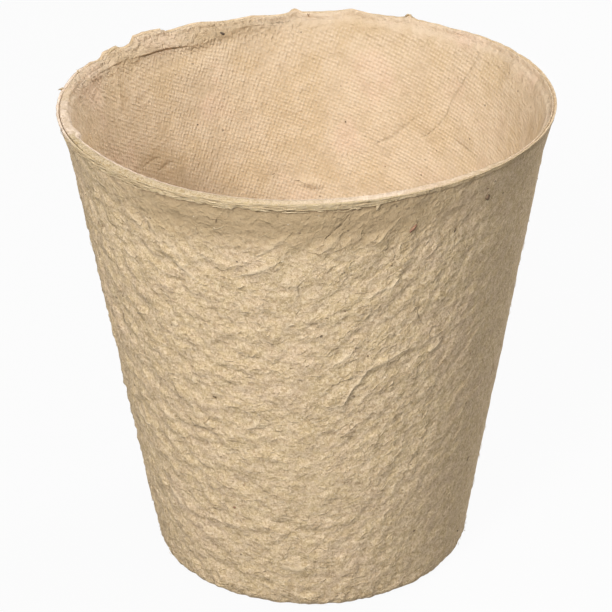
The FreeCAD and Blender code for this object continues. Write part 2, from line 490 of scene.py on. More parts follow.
def lying_noise(bearings, heights, middle, tilt, cell, seed):
    """Noise on a quarter of the unrolled wall, drawn out along a tilted line."""
    across = np.radians(turn_apart(bearings, middle)) * MEAN_RADIUS
    turn = radians(tilt)
    along = across * cos(turn) + heights * sin(turn)
    over = heights * cos(turn) - across * sin(turn)
    return noise(np.stack([along, over, np.full_like(along, middle)], axis=-1), (cell[0], cell[1], 1.0), seed)


def felt_relief(points, bearings, heights):
    """Lumps, ripples and sharp little folds of the felted outside."""
    relief = noises(points, (0.2, 15.0, 11), (0.12, 7.0, 12))
    warp = 1.8 * noise(points, 6.0, 16)
    for middle, tilt, strength in RIPPLE_LIES:
        window = np.cos(np.radians(np.clip(turn_apart(bearings, middle), -90, 90))) ** 2 * strength
        lumps = 0.36 * lying_noise(bearings, heights + warp, middle, tilt, (3.6, 2.1), 13)
        small = 0.3 * lying_noise(bearings, heights + 0.5 * warp, middle, tilt, (1.9, 1.15), 14)
        folds = np.abs(lying_noise(bearings, heights + warp, middle, tilt, (5.5, 3.2), 15))
        relief = relief + window * (lumps + small + 0.18 * (np.exp(-folds * 6) - 0.25))
    return relief


def roughness(bearings, heights):
    """Share of the relief that each part of the outside has: the right and the foot below it are calmer."""
    right = smooth(290, 338, bearings) + smooth(38, 0, bearings)
    low_right = smooth(285, 318, bearings) * smooth(34, 10, heights)
    return 1 - 0.6 * np.clip(np.maximum(right, 0.8 * low_right), 0, 1)


# Stretches of bearings: each rises from its first number to its second and falls from its third to its fourth
CALM_SIDE = (208, 240, 286, 318)
FRONT_LIP = (192, 204, 325, 345)
TORN_LIP = (196, 206, 255, 275)
SHALLOW_LIP = (284, 292, 330, 356)
DULL_LIP = (286, 300, 350, 358)
PINK_LIP = (150, 168, 197, 208)
FOLDED_WALL = (25, 45, 110, 130)
BACK_WALL = (10, 30, 162, 176)
STRIP_WALL = (88, 102, 162, 176)
LEVEL_SEAM = (150, 170, 204, 210)
LEFT_LAND = (150, 170, 197, 203)
SHADED_LAND = (160, 172, 199, 201)
TORN_LAND = (199, 201, 240, 300)
ROUGH_LAND = (199, 202, 238, 250)
PLY_LINE = (202, 208, 288, 302)
PALER_LAND = (284, 298, 340, 352)
SHADED_RIGHT_LAND = (284, 300, 350, 358)
# Top of the outer ply: steps in from its edge and rises over the plain height
LIP_TOP = [(0.06, 0.05), (0.17, 0.07), (0.3, 0.05), (0.42, -0.03)]


def stretched(heights, low, high, new_high):
    """Heights over low, drawn out so that high comes to a new height."""
    return low + (heights - low) * (new_high - low) / (high - low)


def outer_ply():
    """The outside of the pot from the drain hole round the foot and up the wall to the ragged lip, and back inside."""
    lip_foot = HEIGHT - LIP_DEPTH
    corner, corner_top = corner_arc(FOOT_RADIUS, 0.0, FOOT_CORNER_RADIUS)
    rows = [(DRAIN_RADIUS, SPLIT_HEIGHT - 0.3), (DRAIN_RADIUS + 0.02, dish_height(DRAIN_RADIUS) + 0.2)]
    rows += [(r, dish_height(r)) for r in np.arange(DRAIN_RADIUS + 0.25, DISH_REACH, 1.15)]
    dish_last = len(rows)
    rows += leg((DISH_REACH, 0), corner[0], 1.0) + corner
    rows += wall_points(outer_radius, (corner_top, lip_foot - 1.4, 0.615), (lip_foot - 1.4, lip_foot - 0.3, 0.26))
    lip_first = len(rows)
    rows += wall_points(outer_radius, (lip_foot - 0.2, HEIGHT - 0.02, 0.1))
    rows += [(outer_radius(HEIGHT) - away, HEIGHT + rise) for away, rise in LIP_TOP]
    hidden_first = len(rows)
    rows += hidden_rows(0.0, 0.35, 2.2)

    row, bearings, radii, heights = ply_grid(rows)
    bearing = bearings[0]
    plain = in_space(bearings, radii, heights)
    shown = (row < hidden_first) * 1.0
    on_the_wall = smooth(2.0, 4.0, heights) * shown
    lip = (row >= lip_first + 2) & (row < hidden_first)

    # The relief fades into a calm band under the lip and nearly to nothing on the foot ring
    calm_side = within(bearings, CALM_SIDE)
    strength = 1 - 0.25 * smooth(HEIGHT - 9.0, HEIGHT - 4.5, heights) * calm_side
    strength *= roughness(bearings, heights)
    strength *= 0.25 + 0.75 * smooth(-0.2, 2.6, heights)
    relief = felt_relief(plain, bearings, heights) * strength
    relief += within(heights, (-0.05, 0.4, 1.6, 4.5)) * noises(plain, (0.2, 1.7, 17), (0.12, 0.9, 18))
    lines, groove_share, ridge_share = drawn(OUTER_STROKES, bearings, heights, False)
    relief = (relief + lines * on_the_wall) * shown
    relief *= smooth(hidden_first, hidden_first - 3, row)

    # The lip: a ragged band that stands proud of the collar, with two lines between its plies
    reach = 1 - 0.4 * within(bearing, SHALLOW_LIP) + 0.12 * ring_noise(bearing, 4.0, 21)
    torn_side = within(bearing, TORN_LIP)
    lip_depth = LIP_DEPTH * (reach + (0.1 + 0.22 * torn_side) * ring_noise(bearing, 1.1, 22))
    proud = 0.9 + 0.35 * ring_noise(bearing, 3.0, 23) + 0.5 * torn_side * ring_noise(bearing, 1.6, 29)
    proud *= LIP_PROUD * (1 - 0.45 * smooth(*SHALLOW_LIP[:2], bearing))
    below = heights - lip_foot
    recess = proud * np.exp(-np.clip(-below - 0.1, 0, None) / 1.6) * smooth(0.06, -0.06, below)
    share = np.clip((HEIGHT - heights) / LIP_DEPTH, 0, 1)
    dashes = smooth(-0.35, 0.2, ring_noise(bearing, 2.6, 24))
    second_dashes = smooth(-0.2, 0.3, ring_noise(bearing, 2.2, 25))
    groove = bell(share, 0.36, 0.09) * dashes + 0.8 * bell(share, 0.72, 0.08) * second_dashes
    bead = (0.06 + 0.15 * torn_side) * ring_noise(bearing, 1.2, 26) * smooth(0.3, 0.9, share)
    on_lip = relief * 0.4 - (recess + 0.15 * groove * lip - bead * lip) * shown
    relief = np.where(lip | (heights > lip_foot - 6), on_lip, relief)
    relief -= 0.05 * smooth(HEIGHT - 8, HEIGHT, heights) * shown

    # The rows near the rim rise and fall with it
    top = rim_top(bearing, 1.0)
    low = HEIGHT - 6.0
    moved = np.where(heights > lip_foot, top - (HEIGHT - heights) * lip_depth / LIP_DEPTH,
                     stretched(heights, low, lip_foot, top - lip_depth))
    moved = np.where(row >= hidden_first, stretched(heights, low, HEIGHT, top), moved)
    new_heights = np.where(heights > low, moved, heights)
    radii = radii + np.where(heights > low, (new_heights - heights) * COLLAR_SLOPE, 0)
    # A torn edge leans in over the rim that it stands on
    leaning = (new_heights > HEIGHT - 0.1) & (row >= lip_first)
    radii = np.where(leaning, radii - 0.3 * (new_heights - HEIGHT + 0.1), radii)

    normal_across, normal_up = row_normals(radii, new_heights)
    final = in_space(bearings, radii + normal_across * relief, new_heights + normal_up * relief)
    final[..., 2] = np.clip(final[..., 2], 0.0, HIGHEST)
    finish_points(final, plain, bearings, radii, heights, 2.0)
    mesh = ply_mesh("outer_ply", rows, final, False, dish_last + 2, lip_first, hidden_first)

    cream = smooth(lip_foot - 0.05, lip_foot + 0.1, heights) * shown
    shade_under_lip = within(heights, (lip_foot - 1.2, lip_foot - 0.1, lip_foot - 0.05, lip_foot + 0.02)) * shown
    dull_lip = within(bearings, DULL_LIP)
    at_back = 1 - within(bearings, FRONT_LIP)
    # Painted shade: a band under the lip that darkens towards it, strongest at the front and faint elsewhere, and the
    # lip itself at the right
    painted_rim_shade = (1 - cream) * (0.08 + 0.92 * calm_side) + 0.55 * cream * dull_lip
    paint(mesh, "cream", cream * (1 - at_back) * (1 - 0.7 * smooth(*DULL_LIP[:2], bearings)))
    paint(mesh, "turned", cream * at_back)
    paint(mesh, "pinkish", cream * within(bearings, PINK_LIP))
    # Painted shade: dark in the two lines between the lip's plies and in a thin band just under the lip's edge, weaker
    # at the back and at the right
    paint(mesh, "hollow_shade", np.maximum(groove * lip, 0.7 * shade_under_lip) * (1 - 0.8 * at_back) * (1 - 0.6 * dull_lip))
    paint(mesh, "painted_rim_shade", smooth(HEIGHT - 12, HEIGHT - 5, heights) * shown * painted_rim_shade)
    paint_lines(mesh, on_the_wall, groove_share, ridge_share)
    calm_top = smooth(HEIGHT - 9, HEIGHT - 5.5, heights) * calm_side
    paint(mesh, "rough", roughness(bearings, heights) * (1 - 0.1 * calm_top))
    paint(mesh, "slant", (smooth(256, 280, bearings) + smooth(40, 0, bearings)) * smooth(8, 40, heights))
    return mesh, final[dish_last + 14:hidden_first - 5]


# How far the inner edge of the rim stands in from the die's face, or back from it where the number is below zero
LAND_EDGE = [
    (0, -0.9), (40, -0.4), (90, -0.3), (110, 0.0), (165, -0.3), (180, -0.1), (187, 0.0), (193, 0.05), (196, 0.15),
    (198, 0.6), (199.5, 0.75), (201, -0.2), (205, 0.0), (212, 0.4), (229, 0.45), (243, 0.15), (252, 0.1), (262, 0.25),
    (270, 0.45), (285, 0.3), (298, 0.3), (314, -0.15), (325, -0.8), (338, -1.0), (360, -0.9),
]
# Strip of collar turned inwards: bearing, height of its lower edge, how proud the edge stands, how open the crack is
STRIP = [(94, 79.0, 0.0, 0.0), (102, 78.8, 0.12, 0.0), (110, 77.9, 0.2, 0.0), (118, 76.6, 0.15, 0.0),
         (123, 76.7, 0.32, 0.15), (126, 77.0, 0.45, 0.9), (131, 77.4, 0.5, 0.8), (137, 77.5, 0.4, 0.9),
         (140, 77.7, 0.22, 0.15), (143, 77.9, 0.15, 0.0), (147, 78.2, 0.15, 0.05), (150, 78.4, 0.22, 0.25),
         (155, 78.3, 0.22, 0.2), (158, 78.5, 0.18, 0.0), (162, 78.7, 0.1, 0.0), (166, 78.8, 0.0, 0.0)]
STRIP_ROW = 77.3
# Top of the inner ply: shares of the way from its inner to its outer edge, and rises over the plain height
ROLL = [(0.0, -0.62), (0.015, -0.42), (0.06, -0.24), (0.14, -0.1), (0.26, -0.02), (0.4, 0.02), (0.55, 0.02), (0.7, 0.0),
        (0.83, -0.05), (0.93, -0.13), (0.985, -0.26)]


def table(bearing, rows, column=1):
    return np.interp(bearing, [r[0] for r in rows], [r[column] for r in rows])


def inner_ply():
    """The inside of the pot: floor, inner corner, wall with its creases, the turned-in strip and the rolled edge."""
    corner, corner_top = corner_arc(inner_radius(0.0), FLOOR_TOP, INSIDE_CORNER_RADIUS)
    rows = [(DRAIN_RADIUS, SPLIT_HEIGHT + SPLIT_GAP + 0.15), (DRAIN_RADIUS, FLOOR_TOP - 0.35),
            (DRAIN_RADIUS + 0.12, FLOOR_TOP - 0.1)]
    rows += leg((DRAIN_RADIUS + 0.4, FLOOR_TOP), corner[0], 0.95)
    floor_last = len(rows)
    rows += corner
    rows += wall_points(inner_radius, (corner_top, 74.0, 0.64), (74.0, STRIP_ROW - 0.6, 0.4),
                        (STRIP_ROW - 0.55, STRIP_ROW + 0.5, 0.11), (STRIP_ROW + 0.6, HEIGHT - 0.7, 0.3))
    roll_first = len(rows)
    inside, outside = inner_radius(HEIGHT), outer_radius(HEIGHT) - OUTER_PLY - SPLIT_GAP
    rows += [(inside + (outside - inside) * share, HEIGHT + rise) for share, rise in ROLL]
    hidden_first = len(rows)
    rows += hidden_rows(SPLIT_GAP, 0.6, 2.3)

    row, bearings, radii, heights = ply_grid(rows)
    bearing = bearings[0]
    plain = in_space(bearings, radii, heights)
    shown = (row < hidden_first) * 1.0
    wall = smooth(FLOOR_TOP + 2, FLOOR_TOP + 5, heights) * (row < roll_first)
    roll = (row >= roll_first) & (row < hidden_first)
    share = np.concatenate([np.zeros(roll_first), [r[0] for r in ROLL], np.ones(len(rows) - hidden_first)])[:, None]
    centre_share = np.where(row < floor_last, smooth(6.0, 16.0, radii), 1 - share)

    top = rim_top(bearing, INNER_TEAR_SHARE)
    edge = table(bearing, LAND_EDGE) + 0.12 * ring_noise(bearing, 2.5, 31) + 0.06 * ring_noise(bearing, 0.9, 32)
    thickness = outside - inside - 0.5 * np.cos(np.radians(bearing - 45))
    edge = np.maximum(edge, 0.3 - thickness)
    worn = 0.9 * np.clip(-edge, 0, None)
    roll_drop = -ROLL[0][1]
    roll_foot = top - roll_drop - worn

    # The rows under the rim follow the edge of the strip and the height of the rim
    at_strip = (bearing > STRIP[0][0]) & (bearing < STRIP[-1][0])
    crack = np.minimum(table(bearing, STRIP) + 0.06 * ring_noise(bearing, 1.8, 33), roll_foot - 0.5)
    crack = np.where(at_strip, crack, np.minimum(STRIP_ROW + 0.4, roll_foot - 0.5))
    low = 70.0
    above = crack + (heights - STRIP_ROW) * (roll_foot - crack) / (HEIGHT - roll_drop - STRIP_ROW)
    new_heights = np.where(heights > low, stretched(heights, low, STRIP_ROW, crack), heights)
    new_heights = np.where(heights > STRIP_ROW, above, new_heights)
    new_heights = np.where(roll, top + (heights - HEIGHT) - (1 - share) ** 2 * worn, new_heights)
    behind = (row >= hidden_first) & (heights > low)
    new_heights = np.where(behind, stretched(heights, low, HEIGHT, top), new_heights)
    radii = radii + np.where(heights > low, (new_heights - heights) * COLLAR_SLOPE, 0)

    # Relief inwards: shallow waves, creases, the strip with the crack under it, and the edge of the rim
    over = heights - STRIP_ROW
    cleft = table(bearing, STRIP, 3)

    def past_edge(sharp, soft):
        """1 on the strip and 0 under it, with a sharp step where the crack is open and a soft one elsewhere."""
        return cleft * smooth(*sharp, over) + (1 - cleft) * smooth(*soft, over)

    rough_side = around(bearings, 185, 32)
    relief = noises(plain, (0.14, 18.0, 34), (0.12, 6.5, 35), (0.05, 2.4, 36))
    relief += rough_side * 0.09 * noise(plain, 2.8, 37)
    relief += 0.2 * lying_noise(bearings, heights, 80, 38, (11.0, 4.0), 43) * within(bearings, FOLDED_WALL)
    lines, groove_share, ridge_share = drawn(INNER_STROKES, bearings, heights, True)
    relief = (relief * 0.9 + lines * wall) * shown * smooth(roll_first + 3, roll_first, row)
    relief *= 0.3 + 0.7 * smooth(DRAIN_RADIUS, DRAIN_RADIUS + 3, radii)
    proud = table(bearing, STRIP, 2) * at_strip * (1 + 0.15 * ring_noise(bearing, 2.0, 38))
    proud = proud * past_edge((-0.06, 0.05), (-1.3, 0.6))
    proud *= 1 - np.clip(over / (HEIGHT - 0.9 - STRIP_ROW), 0, 1) ** 1.5
    crack_line = bell(over, -0.1, 0.11) * cleft * wall
    relief += proud * wall - 0.22 * crack_line
    relief += smooth(1.8, 0.55, top - new_heights) * wall * edge

    normal_across, normal_up = row_normals(radii, new_heights)
    across = radii - normal_across * relief
    across = np.where(roll, across - edge * (1 - share) ** 1.3, across)
    final = in_space(bearings, across, new_heights - normal_up * relief, centre_share)
    land = noises(plain, (0.05, 1.4, 39), (0.03, 0.8, 40)) * (0.4 + 0.9 * within(bearings, ROUGH_LAND))
    final[..., 2] += roll * (land + 0.13 * smooth(0.75, 0.9, share) * within(bearings, LEVEL_SEAM))
    finish_points(final, plain, bearings, radii, heights, 2.3)
    mesh = ply_mesh("inner_ply", rows, final, True, floor_last, roll_first, hidden_first)
    add_cloth_map(mesh, rows)

    cream = roll * within(bearings, TORN_LAND) * smooth(0.28, 0.45, share)
    by_strip, left_land, back_wall = [within(bearings, s) for s in (STRIP_WALL, LEFT_LAND, BACK_WALL)]
    under_roll = smooth(roll_foot - 1.6, roll_foot + 0.2, new_heights) * (row < roll_first)
    rim_tint = np.maximum(0.85 * under_roll, 0.95 * roll) * shown
    thin_side = smooth(-22, 5, turn_apart(bearings, 0)) * smooth(200, 180, bearings)
    rim_tint *= 1 - np.maximum(0.85 * by_strip, 0.7 * thin_side)
    rim_tint *= 1 - 0.65 * within(bearings, PALER_LAND)
    rim_tint *= 1 - 0.9 * around(bearings, 2, 26)
    cloth_top = roll_foot - 1.9 + back_wall * 1.1
    cloth = smooth(cloth_top, cloth_top - 4.3 + 2.8 * back_wall, new_heights)
    cloth *= smooth(FLOOR_TOP + 1.5, FLOOR_TOP + 5, heights)
    cloth *= 1 - 0.8 * by_strip * past_edge((-0.1, 0.1), (-0.6, 1.0))
    cloth *= (1 - 0.85 * around(bearings, 192, 42)) * (1 - 0.45 * around(bearings, 355, 30))
    shade_under_strip = np.exp(-np.clip(-over, 0, None) / 0.8) * (over < 0.02) * cleft * wall
    ply_line = 0.6 * roll * bell(share, 0.44, 0.07) * within(bearings, PLY_LINE)
    ply_line = ply_line * smooth(-0.3, 0.3, ring_noise(bearing, 2.0, 46))
    on_strip = by_strip * past_edge((-0.1, 0.2), (-1.4, 0.8))
    rough = 0.08 + 0.18 * rough_side + 0.8 * on_strip + 0.4 * roll * (1 - 0.6 * back_wall) * (1 - 0.85 * left_land)
    rough += 0.25 * around(bearings, 8, 16) * wall
    rough += 0.28 * back_wall * smooth(roll_foot - 6, roll_foot - 1, new_heights)
    mottle = np.clip(1 + noises(plain, (1.4, 2.4, 44), (1.2, 6.0, 45)), 0, 3)
    # Brown for real stains and mottles, and painted shade: on the face of the turned-in strip (browner there too), in
    # the hollow at its end and on the rim's top at the right and the left; on the left side the wall also darkens
    # towards the rim
    stains_and_shade = 0.5 * on_strip + stains_and_hollow_shade(bearings, heights) * wall * (1 + 0.8 * noise(plain, 3.0, 42))
    stains_and_shade += roll * (0.7 * within(bearings, SHADED_RIGHT_LAND) + 0.8 * within(bearings, SHADED_LAND))
    stains_and_shade += rough_side * wall * (0.3 * mottle + 0.4 * smooth(roll_foot - 9, roll_foot - 1, new_heights))
    paint(mesh, "cream", cream)
    paint(mesh, "rim", rim_tint * (1 - cream))
    # Painted shade: dark under the edge of the turned-in strip where its crack is open, in the crack and in the line
    # between the plies on the rim's top
    paint(mesh, "hollow_shade", np.maximum(np.maximum(0.3 * shade_under_strip, ply_line), 0.85 * crack_line))
    paint_lines(mesh, wall, groove_share, ridge_share)
    paint(mesh, "rough", np.clip(rough, 0, 1) * shown)
    paint(mesh, "stains_and_shade", np.clip(stains_and_shade, 0, 1) * shown)
    paint(mesh, "cloth", cloth * shown)
    return mesh, final[floor_last + 9:roll_first]


def add_cloth_map(mesh, rows):
    """The inner wall unrolled flat, in millimetres, so that the wire cloth lies on it as cut; it meets at the front."""
    row, column, steps, lifts = loops_of(len(rows), True)
    bearing = (column * 360 / COLUMNS + 90) % 360 - 90 + steps * 360 / COLUMNS
    lean = sin(atan(WALL_SLOPE))
    heights = np.array(rows + rows[:1])[:, 1]
    reach = (inner_radius(0.0) / lean + heights / cos(atan(WALL_SLOPE)))[row + lifts]
    angle = np.radians(bearing - 90) * lean
    add_map(mesh, "cloth_map", reach * np.sin(angle), reach * np.cos(angle))


class Shader:
    """A material with short calls that add nodes; a value is a number, a colour or another node's output."""

    def __init__(self, name, rough, shine):
        self.material = bpy.data.materials.new(name)
        self.material.use_nodes = True
        self.tree = self.material.node_tree
        self.surface = self.tree.nodes["Principled BSDF"].inputs
        self.surface["Roughness"].default_value = rough
        self.surface["Specular IOR Level"].default_value = shine

    def put(self, value, socket):
        if isinstance(value, bpy.types.NodeSocket):
            self.tree.links.new(value, socket)
        else:
            socket.default_value = value

    def add(self, kind, values=None, **settings):
        """A node with its settings and the values of its inputs."""
        node = self.tree.nodes.new(kind)
        for name, setting in settings.items():
            setattr(node, name, setting)
        for name, value in (values or {}).items():
            self.put(value, node.inputs[name])
        return node

    def maths(self, operation, first, second=0.5, third=0.5):
        return self.add("ShaderNodeMath", {0: first, 1: second, 2: third}, operation=operation).outputs[0]

    def times(self, first, second):
        return self.maths("MULTIPLY", first, second)

    def between(self, share, first, second):
        """Value between two values."""
        return self.add("ShaderNodeMix", {0: share, 2: first, 3: second}).outputs[0]

    def blend(self, share, first, second):
        """Colour between two colours."""
        node = self.add("ShaderNodeMix", {0: share}, data_type="RGBA")
        for socket, value in zip([socket for socket in node.inputs if socket.type == "RGBA"], (first, second)):
            self.put(value, socket)
        return [socket for socket in node.outputs if socket.type == "RGBA"][0]

    def layered(self, base, layers):
        """Colours laid over a base one by one: each has a share, its colour and, to thin it, a factor."""
        for share, over, *factor in layers:
            base = self.blend(self.times(share, *factor) if factor else share, base, over)
        return base

    def eased(self, value, low, high, to_low=0.0, to_high=1.0):
        """A value eased from one range to another."""
        values = {"Value": value, "From Min": low, "From Max": high, "To Min": to_low, "To Max": to_high}
        return self.add("ShaderNodeMapRange", values, interpolation_type="SMOOTHSTEP").outputs[0]

    def millimetres(self):
        place = self.add("ShaderNodeTexCoord").outputs["Object"]
        return self.add("ShaderNodeMapping", {"Vector": place, "Scale": (1 / MM, 1 / MM, 1 / MM)}).outputs[0]

    def grain(self, place, size, detail=2.0, roughness=0.5, distortion=0.0):
        """Noise from 0 to 1 whose lumps have a size in millimetres."""
        return self.add("ShaderNodeTexNoise", {"Vector": place, "Scale": 1 / size, "Detail": detail,
                                               "Roughness": roughness, "Distortion": distortion}).outputs[0]

    def flow(self, tilt, squeeze):
        """Millimetres in which lines tilted up to the right, as seen from the front, are level and drawn out."""
        turn = {"Vector": self.millimetres(), "Angle": radians(tilt)}
        turned = self.add("ShaderNodeVectorRotate", turn, rotation_type="Y_AXIS").outputs[0]
        return self.add("ShaderNodeVectorMath", {0: turned, 1: (1, 1, squeeze)}, operation="MULTIPLY").outputs[0]

    def painted(self, name):
        return self.add("ShaderNodeAttribute", attribute_name=name).outputs["Fac"]

    def line_near(self, name, reach):
        """1 on a painted line and 0 from a share of its width on."""
        line = self.eased(self.maths("ABSOLUTE", self.painted(name + "_share")), reach, 0.0)
        return self.times(line, self.painted(name + "_near"))

    def specks(self, place, size, share, shift):
        """Small grains: 1 inside a share of the cells of a pattern."""
        moved = self.add("ShaderNodeVectorMath", {0: place, 1: (shift, shift, 0)}, operation="ADD").outputs[0]
        cells = self.add("ShaderNodeTexVoronoi", {"Vector": moved, "Scale": 1 / size, "Randomness": 1.0}).outputs
        pick = self.add("ShaderNodeSeparateColor", {0: cells["Color"]}).outputs[0]
        return self.times(self.maths("LESS_THAN", pick, share), self.eased(cells["Distance"], 0.34, 0.14))

    def finish(self, base, rough, bumps):
        """Colour, roughness and bumps, each with its height and its depth in millimetres, one over the other."""
        self.put(base, self.surface["Base Color"])
        self.put(rough, self.surface["Roughness"])
        normal = {}
        for height, depth in bumps:
            bump = self.add("ShaderNodeBump", {"Height": height, "Distance": depth * MM, "Strength": 1.0, **normal})
            normal = {"Normal": bump.outputs[0]}
        self.put(normal["Normal"], self.surface["Normal"])
        return self.material


def colour(red, green, blue):
    return (red, green, blue, 1.0)


FELT = colour(0.56, 0.425, 0.252)
FELT_DARK = colour(0.40, 0.29, 0.165)
FELT_LIGHT = colour(0.745, 0.605, 0.415)
FELT_OLIVE = colour(0.35, 0.245, 0.135)
FELT_YELLOW = colour(0.60, 0.45, 0.25)
FELT_PINK = colour(0.62, 0.46, 0.33)
# Colour of painted shade in grooves, cracks and under overhangs
HOLLOW_SHADE = colour(0.26, 0.18, 0.10)
CREAM = colour(0.535, 0.425, 0.28)
CREAM_SHADE = colour(0.50, 0.385, 0.22)
CREAM_LINE = colour(0.36, 0.26, 0.13)
RIM_PINK = colour(0.77, 0.63, 0.505)
RIM_SHADE = colour(0.67, 0.53, 0.405)
LIP_SHADE = colour(0.66, 0.52, 0.395)
INNER = colour(0.645, 0.50, 0.34)
INNER_DARK = colour(0.52, 0.38, 0.23)
INNER_LIGHT = colour(0.745, 0.60, 0.44)
INNER_BROWN = colour(0.42, 0.305, 0.185)
INNER_YELLOW = colour(0.57, 0.42, 0.245)
INNER_ROSE = colour(0.70, 0.50, 0.37)
PALE_GRAIN = colour(0.82, 0.72, 0.55)
FIBRE = colour(0.64, 0.52, 0.34)
FIBRE_DARK = colour(0.38, 0.27, 0.15)
BARK = colour(0.07, 0.05, 0.035)
BARK_DARK = colour(0.05, 0.038, 0.03)
BARK_BROWN = colour(0.20, 0.12, 0.07)
BARK_RED = colour(0.30, 0.15, 0.095)


def outer_felt():
    """Felted outside: mottled tan pulp with ripples, fine fibres and small grains of bark."""
    felt = Shader("felted_pulp", 0.9, 0.25)
    place, slant, rough = felt.millimetres(), felt.painted("slant"), felt.painted("rough")
    left, right = felt.flow(-12, 1.2), felt.flow(38, 1.35)

    def flowing(*form):
        return felt.between(slant, felt.grain(left, *form), felt.grain(right, *form))

    clouds = felt.grain(place, 11.0, 3.0)
    patches = flowing(3.4, 2.0, 0.5)
    folds = flowing(2.9, 2.0, 0.45)
    clumps = flowing(1.25, 3.0, 0.55)
    fibres = felt.grain(place, 0.5, 3.0, 0.65, 0.3)
    tufts = felt.grain(place, 1.5, 2.0)
    dust = felt.grain(place, 0.22, 2.0, 0.6)
    fold_lines = felt.eased(felt.maths("ABSOLUTE", felt.maths("SUBTRACT", folds, 0.5)), 0.055, 0.0)
    fold_lines = felt.times(fold_lines, felt.eased(patches, 0.42, 0.58))
    ridge, groove = felt.line_near("ridge", 1.2), felt.line_near("groove", 1.0)
    lip_tone = felt.eased(clumps, 0.35, 0.65)

    base = felt.layered(felt.blend(felt.eased(clumps, 0.34, 0.64), FELT_DARK, FELT_LIGHT), [
        (0.6, FELT),
        (felt.eased(patches, 0.45, 0.7, 0.0, 0.4), FELT_YELLOW),
        (felt.eased(clouds, 0.48, 0.7, 0.0, 0.5), FELT_PINK),
    ])
    base = felt.blend(felt.eased(tufts, 0.4, 0.6), felt.blend(0.3, base, FELT_YELLOW), felt.blend(0.3, base, FELT_PINK))
    base = felt.layered(base, [
        (felt.eased(fibres, 0.49, 0.36, 0.0, 0.62), FELT_OLIVE),
        (felt.eased(fibres, 0.53, 0.64, 0.0, 0.75), FELT_LIGHT),
        (felt.eased(dust, 0.47, 0.32, 0.0, 0.7), FELT_DARK),
        (felt.eased(dust, 0.54, 0.68, 0.0, 0.7), FELT_LIGHT),
        (ridge, FELT_LIGHT, 0.5),
        # Painted shade in the band under the lip
        (felt.painted("painted_rim_shade"), FELT_DARK, 0.8),
        (felt.painted("cream"), felt.blend(felt.eased(fibres, 0.35, 0.65), CREAM_SHADE, CREAM)),
        (felt.painted("turned"), felt.blend(lip_tone, INNER_DARK, INNER)),
        (felt.painted("pinkish"), felt.blend(lip_tone, LIP_SHADE, RIM_PINK)),
        # Painted shade in the lip's ply lines and under its edge
        (felt.painted("hollow_shade"), HOLLOW_SHADE, 0.7),
        # Painted shade in the drawn grooves
        (groove, HOLLOW_SHADE, 0.2),
        (felt.specks(place, 0.8, 0.006, 3.0), BARK, 0.65),
        (felt.specks(place, 0.5, 0.008, 9.0), PALE_GRAIN, 0.7),
    ])
    return felt.finish(base, felt.eased(clumps, 0.3, 0.7, 0.96, 0.84), [
        (felt.times(patches, rough), 0.85),
        (felt.times(fold_lines, rough), 0.085),
        (felt.times(clumps, rough), 0.25),
        (felt.maths("SUBTRACT", ridge, groove), 0.1),
        (fibres, 0.18),
        (dust, 0.07),
    ])


def cloth_print(pulp):
    """Print of the wire cloth on the unrolled wall: two sets of wires nearly square to each other, 40 to the inch."""
    flat = pulp.add("ShaderNodeUVMap", uv_map="cloth_map").outputs[0]
    waves = []
    for direction in (20.7, 110.5):
        angle = radians(direction)
        along = pulp.add("ShaderNodeVectorMath", {0: flat, 1: (cos(angle), sin(angle), 0)}, operation="DOT_PRODUCT")
        waves.append(pulp.times(along.outputs["Value"], 2 * pi / WIRE_PITCH))
    both = pulp.maths("ADD", *[pulp.maths("COSINE", wave) for wave in waves])
    over_under = pulp.times(*[pulp.maths("COSINE", pulp.times(wave, 0.5)) for wave in waves])
    return pulp.maths("MULTIPLY_ADD", pulp.maths("MULTIPLY_ADD", over_under, 0.25, both), 0.2, 0.5)


